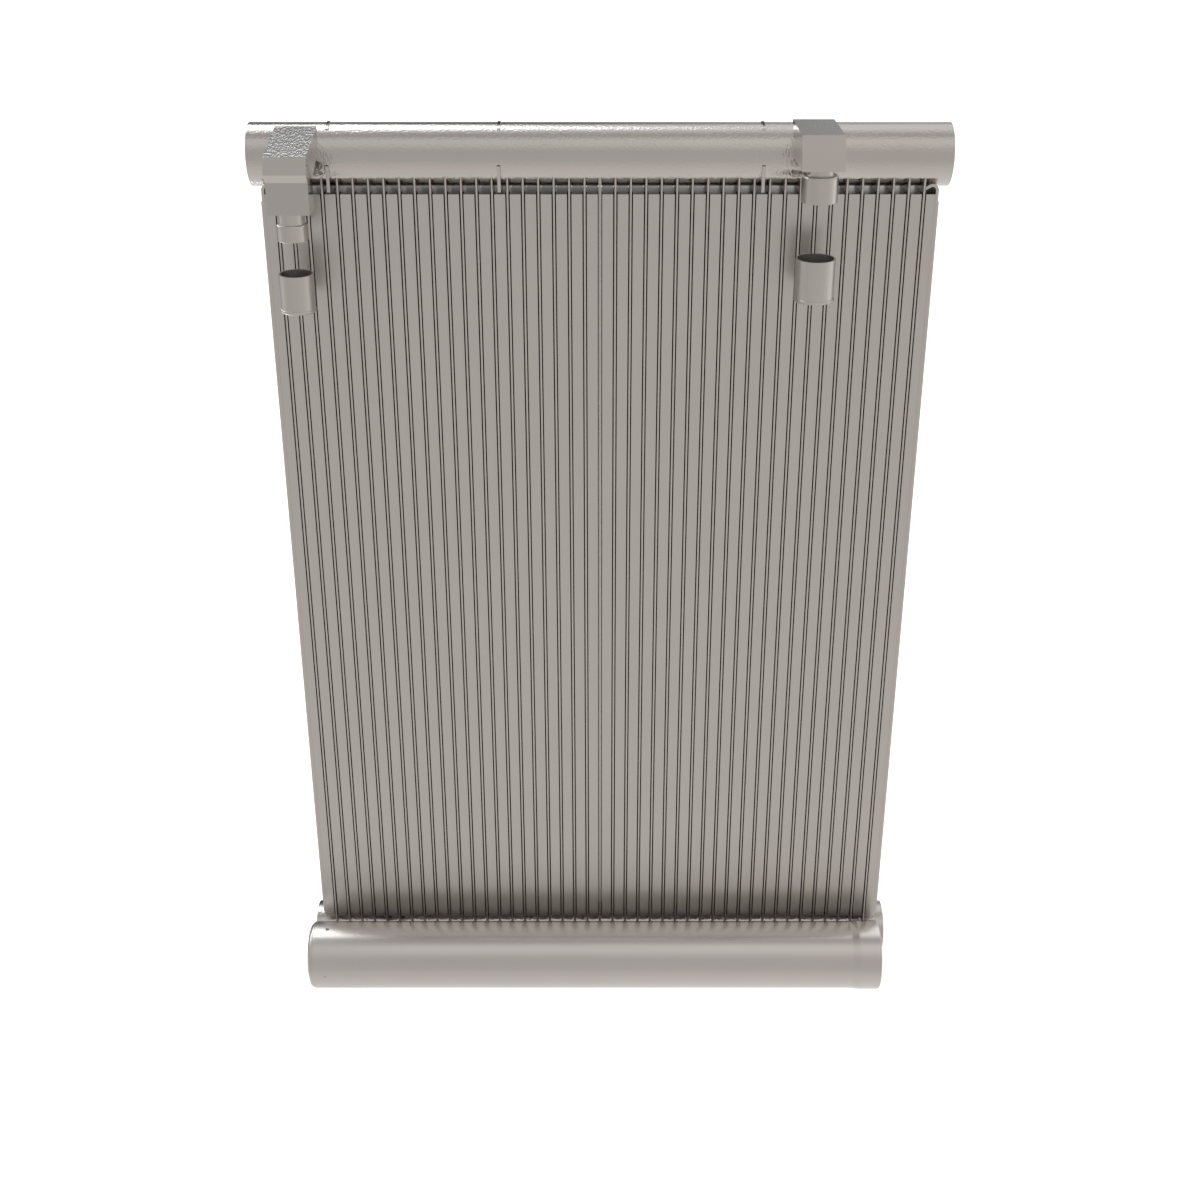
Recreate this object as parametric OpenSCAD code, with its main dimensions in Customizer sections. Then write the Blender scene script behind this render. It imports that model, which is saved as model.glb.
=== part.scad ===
// Parallel-flow vapor condenser: two round headers joined by flat multiport tubes with
// fin columns between them, a receiver alongside the lower header, and two capped ports.
// Millimetres, +Z up, air side facing -Y. The origin is the centre of the footprint.

/* [Circuit] */
// Tubes in the first pass, next to the inlet on the right
pass_1_tubes = 11; // [8:1:16]
// Tubes in the second pass
pass_2_tubes = 9; // [4:1:14]
// Tubes in the third pass
pass_3_tubes = 8; // [4:1:12]
// Tubes in the fourth pass
pass_4_tubes = 6; // [3:1:10]
// Tubes in the fifth pass, which feeds the receiver
pass_5_tubes = 5; // [4:1:8]
// Tubes in the sixth pass, which subcools the liquid on its way to the outlet
pass_6_tubes = 4; // [4:1:8]

/* [Tubes and fins] */
// Depth of a flat tube, front nose to back nose
tube_depth = 25; // [20:0.1:26]
// Thickness of a flat tube
tube_t = 1.3; // [1:0.1:2.4]
// Ports extruded side by side in each tube
port_count = 14; // [6:1:18]
// Wall and web of the ports
port_wall = 0.3; // [0.2:0.05:0.45]
// Width of the space between two tubes, filled by a fin column
fin_w = 6.35; // [5:0.05:9]
// Width of the outermost spaces, between the last tube and a side plate
outer_fin_w = 5.1; // [4:0.05:7]
// Height of the fin columns
core_h = 438; // [250:1:700]
// Setback of the fins behind the tube noses, front and back
fin_setback = 0.3; // [0.1:0.1:2]
// Width of the open groove between a tube and the edge of its fins
groove_w = 0.46; // [0.2:0.02:1]
// Depth of that groove, front and back
groove_d = 6; // [2:0.5:9]

/* [Headers] */
// Room between the noses of a tube and the inner wall of a header
header_room = 1.2; // [0.35:0.05:5.85]
// Wall of the header tubes
header_wall = 1.65; // [1:0.05:1.8]
// Gap between the fins and the upper header
upper_gap = 1.95; // [0.8:0.05:3]
// Gap between the fins and the lower header
lower_gap = 0.75; // [0.7:0.05:3]
// Length of header that shows past a side plate
header_overhang = 5.25; // [4:0.25:15]
// How far the corners of a tube reach past the inner wall of a header
tube_tuck = 0.9; // [0.4:0.1:3]
// Thickness of the discs that close the headers
end_t = 3; // [1.5:0.25:4]

/* [Baffles] */
// Thickness of a baffle plate
baffle_t = 1.65; // [1:0.05:2.5]
// Height of the square shoulders below the header axis
baffle_shoulder = 2.5; // [1:0.1:5]
// How far the square half stands proud of the header, at its foot too
baffle_proud = 0.3; // [0.1:0.05:0.6]
// Front edge of the locating tab, forward of the header axis
tab_front = 8; // [4:0.2:10]
// Back edge of the locating tab, behind the header axis
tab_back = 0.6; // [0:0.2:6]
// Height of the tab above the crown of the header
tab_proud = 0.6; // [0.1:0.05:0.65]

/* [Side plates] */
// Thickness of a side plate
side_t = 1.9; // [1.2:0.05:2.4]
// Coining that thins the bent ends
side_coin = 0.45; // [0.05:0.05:0.6]
// Outer radius of the bend over the outermost fins
side_bend_r = 3.2; // [2.4:0.1:3.8]
// Rise of the upper bend above the fins
side_rise = 5.1; // [4:0.1:6]
// Drop of the lower bend below the fins
side_drop = 0.2; // [0.1:0.05:1.4]
// Slope of the tail that runs from the upper bend to the outermost tube
side_tail_angle = 30; // [5:1:40]
// Length of the thinned end below the top of the fins
side_step = 3.7; // [2:0.1:20]

/* [Inlet block] */
// Width of both blocks along the header
block_w = 20.4; // [18.2:0.1:28]
// Distance from the last upper baffle to the centre of the inlet block
inlet_from_baffle = 25.1; // [16:0.1:50]
// Height of the flat top above the crown of the header
inlet_top_h = 1.6; // [0.5:0.1:6]
// Forward reach of the top, from the header axis
inlet_top_reach = 42.4; // [34:0.1:46]
// Forward reach of the foot of the slanted front
inlet_foot_reach = 49; // [47:0.2:56]
// Height of the underside above the header axis
inlet_under_h = 1.1; // [0.5:0.1:3]
// Height of the cross bore above the header axis
inlet_cross_h = 8.8; // [7.8:0.1:9]
// Diameter of the cross bore
inlet_cross_d = 9; // [7:0.1:9.2]
// Diameter of the drop bore from it down to the spigot
inlet_drop_d = 9.6; // [9.4:0.1:9.9]

/* [Outlet block] */
// Back edge of the sloped top, forward of the header axis
outlet_back = 7.1; // [5:0.1:10]
// Height of that edge above the header
outlet_lip = 1.2; // [0.3:0.1:2]
// Forward slope of the top
outlet_slope = 11.7; // [8:0.1:14]
// Forward reach of the top, from the header axis
outlet_top_reach = 44.3; // [42:0.1:48]
// Height of the nose face
outlet_nose_h = 7.9; // [5:0.1:9]
// How far the nose face leans forward
outlet_nose_lean = 3.2; // [1:0.1:5]
// Height of the bevel under the nose
outlet_bevel_h = 4.2; // [3:0.1:6]
// Length of the leg below the bevel
outlet_leg_h = 15.5; // [10:0.1:30]
// Slope of the neck's underside, from the leg up to the header
outlet_web_slope = 22; // [16:0.5:26]
// Distance from the bevel down to the foot of that slope
outlet_web_drop = 0.8; // [0:0.1:3]
// Depth of the leg, front to back
outlet_leg_d = 14; // [13.6:0.1:15]
// Diameter of the cross bore
outlet_cross_d = 7; // [5:0.1:7.2]
// Diameter of the drop bore from it down to the spigot
outlet_drop_d = 7.6; // [7.4:0.1:7.9]
// Height of the cross bore where it leaves the header
outlet_cross_h = 6; // [5:0.1:7]

/* [Spigots] */
// Forward reach of both spigot axes, from the header axis
port_reach = 37.4; // [37:0.1:38]
// Neck diameter of the inlet spigot
inlet_neck_d = 13.3; // [12:0.1:15]
// Visible neck of the inlet spigot
inlet_neck_h = 3.4; // [1:0.1:15]
// Collar diameter of the inlet spigot
inlet_collar_d = 17.7; // [16:0.1:22]
// Collar length of the inlet spigot
inlet_collar_h = 13; // [6:0.1:20]
// Bore of the inlet spigot
inlet_bore = 10; // [8:0.1:10.8]
// Neck diameter of the outlet spigot
outlet_neck_d = 13; // [10:0.1:13.2]
// Visible neck of the outlet spigot
outlet_neck_h = 5.1; // [1:0.1:15]
// Collar diameter of the outlet spigot
outlet_collar_d = 15.2; // [14:0.1:20]
// Collar length of the outlet spigot
outlet_collar_h = 8.3; // [5:0.1:20]
// Bore of the outlet spigot
outlet_bore = 8; // [6:0.1:8.6]
// Length of neck seated in a block
spigot_seat = 2.5; // [1.5:0.1:2.6]
// Rounding on the upper edge of a collar
collar_round = 1.2; // [0.4:0.1:2]
// Rounding on its lower edge
collar_foot_round = 0.4; // [0.1:0.1:0.8]

/* [Dust caps] */
// Wall of a cap
cap_wall = 0.8; // [0.6:0.05:2]
// Floor of a cap
cap_floor = 1.4; // [1:0.1:4]
// Radial clearance of a cap over its collar
cap_clear = 0.12; // [0.05:0.01:0.4]
// Height of the rim bead at the closed end
cap_bead_h = 1.8; // [1.4:0.1:4]
// How far the bead stands out
cap_bead_out = 0.5; // [0.2:0.05:1]
// Height of the inlet cap
inlet_cap_h = 21; // [14:0.1:30]
// Distance of the removed inlet cap below its spigot
inlet_cap_off = 27.5; // [20:0.1:60]
// Height of the outlet cap
outlet_cap_h = 18.9; // [12:0.1:30]
// Distance of the removed outlet cap below its spigot
outlet_cap_off = 16.5; // [14:0.1:60]

/* [Receiver] */
// Outside diameter of the receiver
rec_od = 39.4; // [36:0.1:40]
// Wall of the receiver
rec_wall = 2; // [1.5:0.1:2.6]
// Distance of its closed end in from the left end of the header
rec_inset = 0.1; // [0:0.1:6]
// Distance of its plug in from the right end of the header
rec_end_inset = 7.2; // [2:0.1:30]
// Gap between the receiver and the lower header
rec_gap = 1; // [0.6:0.1:4]
// Height of the receiver axis above the lower header axis
rec_rise = 5.4; // [4.7:0.1:8]
// Rounding of the closed end
rec_round = 4.5; // [3:0.1:8]
// Outside diameter of the swaged bell at the open end
bell_od = 40.5; // [40.2:0.1:43]
// Length of the bell
bell_len = 10.3; // [9:0.1:20]
// Length of the taper up to the bell
taper_len = 4.2; // [2:0.1:8]
// Thickness of the plug's flange
plug_flange = 2.4; // [1.6:0.1:5]
// Length of the plug's register inside the bell
plug_register = 7.5; // [5:0.1:8.6]

/* [Receiver joints and contents] */
// Length along the header of each block that joins the receiver to it
bridge_len = 16; // [13:0.5:20]
// Height of those blocks
bridge_h = 14; // [12:0.5:20]
// Diameter of the passages through them
bridge_bore = 9; // [6:0.1:9.6]
// Distance of the plain saddle in from the plug end
saddle_inset = 60; // [40:1:120]
// Distance of the stop pins in from the closed end
pin_inset = 11.2; // [9:0.1:12]
// Turn of the four pins about the receiver's axis, forward from the top
pin_turn = 6; // [0:1:20]
// Diameter of the stop pins' shanks
pin_d = 1.6; // [1:0.1:2]
// How far the pins reach into the receiver
pin_reach = 1; // [0.5:0.1:3]
// Diameter of the stop pins' heads
pin_head_d = 2.4; // [2.2:0.1:3]
// Height of the domes on those heads
pin_dome_h = 0.5; // [0.3:0.05:1]
// Thickness of the filter basket
basket_t = 1; // [0.6:0.1:2]
// Rows of drilled holes across the filter basket's face
basket_rows = 7; // [3:2:9]
// Diameter of the desiccant bag
bag_d = 28; // [18:1:32]
// Length of the desiccant bag
bag_len = 150; // [60:5:200]

/* [Hidden] */
$fn = 64;

// Film left at a brazed fit
braze = 0.05;
// Radial clearance of pieces that slide together
slide_clear = 0.1;
// Overrun that carries a cut clean through a face
cut = 1;
// How far a drop bore runs past the cross bore that meets it
drill_past = 1;
// Facets of the large rounds that a thin saddle is cut with
fine = 256;

// Circuit, counted from the left: the sixth pass is the first group of tubes
pass_tubes = [
    pass_6_tubes, pass_5_tubes, pass_4_tubes, pass_3_tubes, pass_2_tubes, pass_1_tubes
];
pass_first = [for (k = [0:len(pass_tubes)]) tubes_before(k)];
tube_count = pass_first[len(pass_tubes)];
pitch = fin_w + tube_t;
upper_baffle_x = [between(pass_first[1]), between(pass_first[3]), between(pass_first[5])];
lower_baffle_x = [between(pass_first[1]), between(pass_first[2]), between(pass_first[4])];

// Core and headers
core_half = (tube_count * pitch - fin_w) / 2 + outer_fin_w;
side_end_t = side_t - side_coin;
header_len = 2 * (core_half + side_t + header_overhang);
header_bore_r = tube_depth / 2 + header_room;
header_r = header_bore_r + header_wall;
header_od = 2 * header_r;
fin_d = tube_depth - 2 * fin_setback;
tube_reach = sqrt(pow(header_bore_r, 2) - pow(tube_depth / 2, 2)) - tube_tuck;

// Receiver, placed from the lower header's axis
rec_r = rec_od / 2;
bell_r = bell_od / 2;
rec_bore_r = rec_r - rec_wall;
bell_bore_r = bell_r - rec_wall;
rec_len = header_len - rec_inset - rec_end_inset;
rec_dist = header_r + rec_r + rec_gap;
rec_fwd = sqrt(pow(rec_dist, 2) - pow(rec_rise, 2));
rec_tilt = asin(rec_rise / rec_dist);
rec_left = -header_len / 2 + rec_inset;
rec_body_len = rec_len - plug_flange;
inlet_bridge_x = (lower_baffle_x[0] + lower_baffle_x[1]) / 2;
outlet_bridge_x = between(pass_first[1] / 2);
saddle_x = rec_left + rec_len - saddle_inset;

// Frame: Z = 0 under the lowest piece, Y = 0 halfway between front and back
front_reach = rec_fwd + bell_r;
back_reach = header_r + baffle_proud;
core_y = (front_reach - back_reach) / 2;
lower_z = max(back_reach, bell_r - rec_rise);
fin_z = lower_z + header_r + lower_gap;
fin_top_z = fin_z + core_h;
upper_z = fin_top_z + upper_gap + header_r;

// Blocks and spigots, placed from the upper header's axis
inlet_x = upper_baffle_x[2] + inlet_from_baffle;
outlet_x = between(pass_first[1] / 2);
outlet_back_z = sqrt(pow(header_r, 2) - pow(outlet_back, 2)) + outlet_lip;
outlet_front_z = outlet_back_z - tan(outlet_slope) * (outlet_top_reach - outlet_back);
outlet_nose_z = outlet_front_z - outlet_nose_h;
outlet_bevel_z = outlet_nose_z - outlet_bevel_h;
outlet_leg_z = outlet_bevel_z - outlet_leg_h;
outlet_leg_front = port_reach + outlet_leg_d / 2;
outlet_leg_back = port_reach - outlet_leg_d / 2;
outlet_web_z = outlet_bevel_z - outlet_web_drop;
outlet_web_rise = tan(outlet_web_slope) * (outlet_leg_back - outlet_back);
outlet_cross_top = outlet_cross_h + tan(outlet_slope) * header_r;
outlet_cross_end = outlet_cross_top - tan(outlet_slope) * port_reach;

// Number of tubes to the left of the k-th group
function tubes_before(k) = k == 0 ? 0 : tubes_before(k - 1) + pass_tubes[k - 1];
// X of the middle of the space to the left of tube i
function between(i) = (i - tube_count / 2) * pitch;
function tube_x(i) = between(i) + pitch / 2;
// Length lost by the outermost fins under an end of a side plate, going by the lowest line of
// its tail where that reaches the tube
function fin_relief(rise, slope) = max(0, side_bend_r + braze - rise
    - (side_bend_r - side_end_t - (outer_fin_w + side_end_t - side_bend_r) * sin(slope)) / cos(slope));

aluminium = [0.64, 0.63, 0.61];
fin_grey = [0.60, 0.59, 0.57];

module at_upper() translate([0, core_y, upper_z]) children();
module at_lower() translate([0, core_y, lower_z]) children();
module at_receiver() at_lower() translate([0, -rec_fwd, rec_rise]) children();

// A rod along X, centred on the origin
module rod_x(length, d) rotate([0, 90, 0]) cylinder(h = length, d = d, center = true);

// A Y-Z outline drawn as x-y, extruded along X about the origin
module plate_x(t) rotate([90, 0, 90]) linear_extrude(t, center = true) children();

// Flat tube outline with round noses, long way along Y
module flat_section(depth, t) {
    square([t, depth - t], center = true);
    for (s = [-1, 1]) translate([0, s * (depth - t) / 2]) circle(d = t);
}

// Headers. side is -1 where the tubes enter from below, 1 where they enter from above.
module header(side, baffles) {
    slot_w = baffle_t + 2 * braze;
    difference() {
        rod_x(header_len, header_od);
        rod_x(header_len + 2 * cut, 2 * header_bore_r);
        for (i = [0:tube_count - 1])
            translate([tube_x(i), 0, side < 0 ? -header_r - cut : 0])
                linear_extrude(header_r + cut)
                    flat_section(tube_depth + 2 * braze, tube_t + 2 * braze);
        for (x = baffles) translate([x - slot_w / 2, 0, 0]) {
            translate([0, -header_r - cut, -header_r - cut])
                cube([slot_w, header_od + 2 * cut, header_r + cut - baffle_shoulder + braze]);
            translate([0, -tab_front - braze, 0])
                cube([slot_w, tab_front + tab_back + 2 * braze, header_r + cut]);
        }
    }
}

module upper_header() color(aluminium) at_upper() difference() {
    header(-1, upper_baffle_x);
    inlet_cross_bore(inlet_cross_d);
    outlet_cross_bore(outlet_cross_d);
}

module lower_header() color(aluminium) at_lower() difference() {
    header(1, lower_baffle_x);
    for (x = [inlet_bridge_x, outlet_bridge_x]) bridge_passage(x);
}

module header_end(side)
    color(aluminium)
        translate([side * (header_len - end_t) / 2, 0, 0])
            rod_x(end_t, 2 * (header_bore_r - braze));

// A baffle fills the bore with its round half. Its square half closes the slot that it is
// pushed in through, and its tab locks in a second slot on the crown.
module baffle() color(aluminium) plate_x(baffle_t) {
    difference() {
        circle(r = header_bore_r - braze);
        translate([-header_r, -header_od - baffle_shoulder]) square([header_od, header_od]);
    }
    translate([-back_reach, -back_reach]) square([2 * back_reach, back_reach - baffle_shoulder]);
    translate([-tab_front, 0]) square([tab_front + tab_back, header_r + tab_proud]);
}

// Flat tubes of one pass
module tubes(k) color(aluminium) for (i = [0:pass_tubes[k] - 1])
    translate([tube_x(pass_first[k] + i), core_y, lower_z + tube_reach])
        linear_extrude(upper_z - lower_z - 2 * tube_reach) tube_section();

module tube_section() {
    port_h = tube_t - 2 * port_wall;
    port_pitch = (tube_depth - 2 * port_wall - port_h) / port_count;
    difference() {
        flat_section(tube_depth, tube_t);
        for (j = [0:port_count - 1])
            translate([0, (j - (port_count - 1) / 2) * port_pitch])
                square([port_h, port_pitch - port_wall], center = true);
    }
}

// Fin columns of one pass: one to the left of each tube, and the last on the far right
module fins(k) color(fin_grey)
    for (i = [pass_first[k]:pass_first[k + 1] - 1 + (pass_first[k + 1] == tube_count ? 1 : 0)]) {
        if (i == 0) mirror([1, 0, 0]) outer_fin_column();
        else if (i == tube_count) outer_fin_column();
        else translate([between(i), core_y, fin_z]) linear_extrude(core_h) fin_section();
    }

// The folds meet the tubes along the middle of the column, and stop short of them in a
// groove at the front and back.
module fin_section() {
    square([fin_w - 2 * braze, fin_d - 2 * groove_d], center = true);
    square([fin_w - 2 * groove_w, fin_d], center = true);
}

// The outermost column on the right has no groove beside the side plate, and its foot fills
// the plate's lower bend.
module outer_fin_column() {
    corner = side_bend_r - side_end_t - braze;
    low = fin_z + fin_relief(side_drop, 0);
    high = fin_top_z - fin_relief(side_rise, side_tail_angle);
    from = core_half - outer_fin_w;
    to = core_half - braze;
    intersection() {
        translate([0, core_y, low]) linear_extrude(high - low) {
            translate([from + braze, groove_d - fin_d / 2])
                square([to - from - braze, fin_d - 2 * groove_d]);
            translate([from + groove_w, -fin_d / 2]) square([to - from - groove_w, fin_d]);
        }
        translate([0, core_y, 0]) rotate([90, 0, 0]) linear_extrude(tube_depth, center = true) {
            translate([from, low + corner]) square([to - from, high - low]);
            translate([from, low]) square([to - from - corner, high - low]);
            translate([to - corner, low + corner]) circle(r = corner);
        }
    }
}

// The right side plate. Its ends are bent in over the outermost fins and scooped to fit
// under the headers.
module side_plate() color(aluminium) difference() {
    translate([0, core_y, 0]) rotate([90, 0, 0]) linear_extrude(fin_d, center = true) {
        translate([core_half, fin_z + side_step])
            square([side_t, core_h - 2 * side_step]);
        translate([0, fin_top_z]) side_end(side_rise, side_tail_angle);
        translate([0, fin_z]) mirror([0, 1]) side_end(side_drop, 0);
    }
    at_upper() rod_x(header_len, header_od + 2 * braze);
    at_lower() rod_x(header_len, header_od + 2 * braze);
}

// Bent end in the X-Z plane, with y = 0 at the end of the fins
module side_end(rise, slope) {
    tube_face = core_half - outer_fin_w;
    translate([core_half, -side_step]) square([side_end_t, max(side_step + rise - side_bend_r, braze)]);
    difference() {
        translate([core_half + side_end_t - side_bend_r, rise - side_bend_r]) bend(slope);
        translate([tube_face + braze - 4 * side_bend_r, -4 * side_bend_r])
            square([4 * side_bend_r, 8 * side_bend_r]);
    }
}

module bend(slope) {
    far = 3 * side_bend_r;
    turn = 90 + slope;
    intersection() {
        difference() {
            circle(r = side_bend_r);
            circle(r = side_bend_r - side_end_t);
        }
        polygon([[0, 0], [far, 0], [far, far], [far * cos(turn), far * sin(turn)]]);
    }
    rotate(slope) translate([-far, side_bend_r - side_end_t]) square([far, side_end_t]);
}

// Bores from the upper header to the spigots
module inlet_cross_bore(d)
    translate([inlet_x, -port_reach, inlet_cross_h]) rotate([-90, 0, 0]) cylinder(h = port_reach, d = d);

// It falls towards the front, along the middle of the block's neck
module outlet_cross_bore(d)
    translate([outlet_x, 0, outlet_cross_top])
        rotate([90 + outlet_slope, 0, 0]) cylinder(h = port_reach / cos(outlet_slope), d = d);

// Room for the header that a block saddles
module saddle_cut() rod_x(header_len, header_od + 2 * braze, $fn = fine);

module inlet_block() color(aluminium) at_upper() difference() {
    translate([inlet_x, 0, 0]) plate_x(block_w) polygon([
        [0, header_r + inlet_top_h],
        [-inlet_top_reach, header_r + inlet_top_h],
        [-inlet_foot_reach, inlet_under_h],
        [0, inlet_under_h]
    ]);
    saddle_cut();
    inlet_cross_bore(inlet_cross_d);
    translate([inlet_x, -port_reach, inlet_under_h]) {
        translate([0, 0, -cut]) cylinder(h = spigot_seat + braze + cut, d = inlet_neck_d + 2 * braze);
        cylinder(h = inlet_cross_h + inlet_cross_d / 2 + drill_past - inlet_under_h, d = inlet_drop_d);
    }
}

module outlet_block() color(aluminium) at_upper() difference() {
    translate([outlet_x, 0, 0]) plate_x(block_w) polygon([
        [-outlet_back, outlet_back_z],
        [-outlet_top_reach, outlet_front_z],
        [-outlet_top_reach - outlet_nose_lean, outlet_nose_z],
        [-outlet_leg_front, outlet_bevel_z],
        [-outlet_leg_front, outlet_leg_z],
        [-outlet_leg_back, outlet_leg_z],
        [-outlet_leg_back, outlet_web_z],
        [-outlet_back, outlet_web_z + outlet_web_rise]
    ]);
    saddle_cut();
    outlet_cross_bore(outlet_cross_d);
    translate([outlet_x, -port_reach, outlet_leg_z]) {
        translate([0, 0, -cut]) cylinder(h = spigot_seat + braze + cut, d = outlet_neck_d + 2 * braze);
        cylinder(h = outlet_cross_end + outlet_cross_d / 2 + drill_past - outlet_leg_z, d = outlet_drop_d);
    }
}

// A turned spigot hanging from z = 0, with its neck seated above that
module spigot(neck_d, neck_h, collar_d, collar_h, bore) rotate_extrude() {
    bottom = -neck_h - collar_h;
    translate([bore / 2, bottom]) {
        square([(neck_d - bore) / 2, collar_h + neck_h + spigot_seat]);
        square([(collar_d - bore) / 2 - collar_round, collar_h]);
        translate([0, collar_foot_round])
            square([(collar_d - bore) / 2, collar_h - collar_round - collar_foot_round]);
    }
    translate([collar_d / 2 - collar_round, -neck_h - collar_round]) circle(r = collar_round);
    translate([collar_d / 2 - collar_foot_round, bottom + collar_foot_round])
        circle(r = collar_foot_round);
}

module at_inlet() at_upper() translate([inlet_x, -port_reach, inlet_under_h]) children();
module at_outlet() at_upper() translate([outlet_x, -port_reach, outlet_leg_z]) children();

module inlet_spigot() color(aluminium) at_inlet()
    spigot(inlet_neck_d, inlet_neck_h, inlet_collar_d, inlet_collar_h, inlet_bore);

module outlet_spigot() color(aluminium) at_outlet()
    spigot(outlet_neck_d, outlet_neck_h, outlet_collar_d, outlet_collar_h, outlet_bore);

// A pressed cup with a round bead at its closed end, standing on z = 0
module cap(collar_d, height) rotate_extrude() {
    inner = collar_d / 2 + cap_clear;
    outer = inner + cap_wall;
    translate([inner, cap_floor]) square([cap_wall, height - cap_floor]);
    square([outer, cap_floor]);
    translate([outer + cap_bead_out - cap_bead_h / 2, 0]) intersection() {
        translate([0, cap_bead_h / 2]) circle(d = cap_bead_h);
        translate([cap_bead_h / 2 - cap_bead_out - cap_wall / 2, 0]) square([cap_bead_h, cap_bead_h]);
    }
}

module inlet_cap() color(aluminium)
    at_inlet() translate([0, 0, -inlet_neck_h - inlet_collar_h - inlet_cap_off - inlet_cap_h])
        cap(inlet_collar_d, inlet_cap_h);

module outlet_cap() color(aluminium)
    at_outlet() translate([0, 0, -outlet_neck_h - outlet_collar_h - outlet_cap_off - outlet_cap_h])
        cap(outlet_collar_d, outlet_cap_h);

// Half outline of the receiver as radius against length, closed at 0 and belled at the end
module receiver_outline(r, bell, round_r, from, to) {
    bell_from = rec_body_len - bell_len;
    translate([0, from]) square([r - round_r, to - from]);
    translate([0, from + round_r]) square([r, to - from - round_r]);
    translate([r - round_r, from + round_r]) circle(r = round_r);
    polygon([
        [0, bell_from - taper_len],
        [r, bell_from - taper_len],
        [bell, bell_from],
        [bell, to],
        [0, to]
    ]);
}

module receiver_tube() color(aluminium) difference() {
    at_receiver() difference() {
        translate([rec_left, 0, 0]) rotate([0, 90, 0]) rotate_extrude() intersection() {
            difference() {
                receiver_outline(rec_r, bell_r, rec_round, 0, rec_body_len);
                receiver_outline(
                    rec_bore_r, bell_bore_r, rec_round - rec_wall, rec_wall, rec_body_len + cut
                );
            }
            square([bell_od, rec_len]);
        }
        pin_places() translate([0, 0, -cut]) cylinder(h = rec_wall + 2 * cut, d = pin_d + 2 * braze);
    }
    at_lower() for (x = [inlet_bridge_x, outlet_bridge_x]) bridge_passage(x);
}

module receiver_plug() color(aluminium)
    at_receiver() translate([rec_left + rec_body_len, 0, 0]) rotate([0, 90, 0]) rotate_extrude() {
        rim = plug_flange / 3;
        square([bell_r - rim, plug_flange]);
        square([bell_r, plug_flange - rim]);
        translate([bell_r - rim, plug_flange - rim]) circle(r = rim);
        translate([bell_bore_r - slide_clear - rec_wall, -plug_register]) square([rec_wall, plug_register]);
    }

// Each of the four stop pins, with z = 0 on the inside of the receiver's wall
module pin_places() for (a = [0:90:270])
    rotate([a + pin_turn, 0, 0]) translate([rec_left + pin_inset, 0, rec_bore_r]) children();

module stop_pins() color(aluminium) at_receiver() pin_places() {
    dome_r = (pow(pin_head_d / 2, 2) + pow(pin_dome_h, 2)) / (2 * pin_dome_h);
    translate([0, 0, -pin_reach]) cylinder(h = rec_wall + pin_reach, d = pin_d);
    translate([0, 0, rec_wall]) rotate_extrude() intersection() {
        translate([0, pin_dome_h - dome_r]) circle(r = dome_r);
        square(pin_head_d);
    }
}

// Passage from the lower header into the receiver, along the line between their axes
module bridge_passage(x) translate([x, 0, 0]) rotate([90 - rec_tilt, 0, 0])
    translate([0, 0, header_bore_r - 2 * header_wall])
        cylinder(h = rec_gap + 3 * header_wall + rec_wall + 3 * cut, d = bridge_bore);

// A block that saddles the header and the receiver, with or without a passage
module bridge(x, bored) color(aluminium) at_lower() difference() {
    translate([x, 0, 0]) rotate([-rec_tilt, 0, 0])
        translate([0, -rec_dist / 2, 0]) cube([bridge_len, rec_dist, bridge_h], center = true);
    saddle_cut();
    translate([0, -rec_fwd, rec_rise]) rod_x(header_len, rec_od + 2 * braze, $fn = fine);
    if (bored) bridge_passage(x);
}

// Drilled basket that keeps the desiccant away from the outlet passage. It rests on the pins.
module filter_basket() color(fin_grey) difference() {
    at_receiver() {
        from = rec_left + pin_inset + pin_d / 2 + braze;
        to = (inlet_bridge_x + outlet_bridge_x) / 2;
        basket_r = rec_bore_r - slide_clear;
        difference() {
            translate([(from + to) / 2, 0, 0]) rod_x(to - from, 2 * basket_r);
            translate([(from + to) / 2 - basket_t, 0, 0]) rod_x(to - from, 2 * (basket_r - basket_t));
            basket_holes(to, basket_r);
        }
    }
    at_lower() bridge_passage(outlet_bridge_x);
}

module basket_holes(to, basket_r) {
    spread = 2 * (basket_r - 2 * basket_t) / basket_rows;
    for (i = [0:basket_rows - 1], j = [0:basket_rows - 1]) {
        y = (i - (basket_rows - 1) / 2) * spread;
        z = (j - (basket_rows - 1) / 2) * spread;
        if (norm([y, z]) < basket_r - spread)
            translate([to, y, z]) rod_x(2 * basket_t + cut, spread / 2);
    }
}

// Desiccant bag lying on the floor of the receiver, clear of the plug and the inlet passage
module desiccant_bag() color([0.85, 0.84, 0.78])
    at_receiver() translate([saddle_x - bag_len, 0, -rec_bore_r + bag_d / 2 + slide_clear]) {
        end_r = bag_d / 4;
        rotate([0, 90, 0]) rotate_extrude() {
            square([bag_d / 2 - end_r, bag_len]);
            translate([0, end_r]) square([bag_d / 2, bag_len - 2 * end_r]);
            for (z = [end_r, bag_len - end_r])
                translate([bag_d / 2 - end_r, z]) circle(r = end_r);
        }
    }

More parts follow.
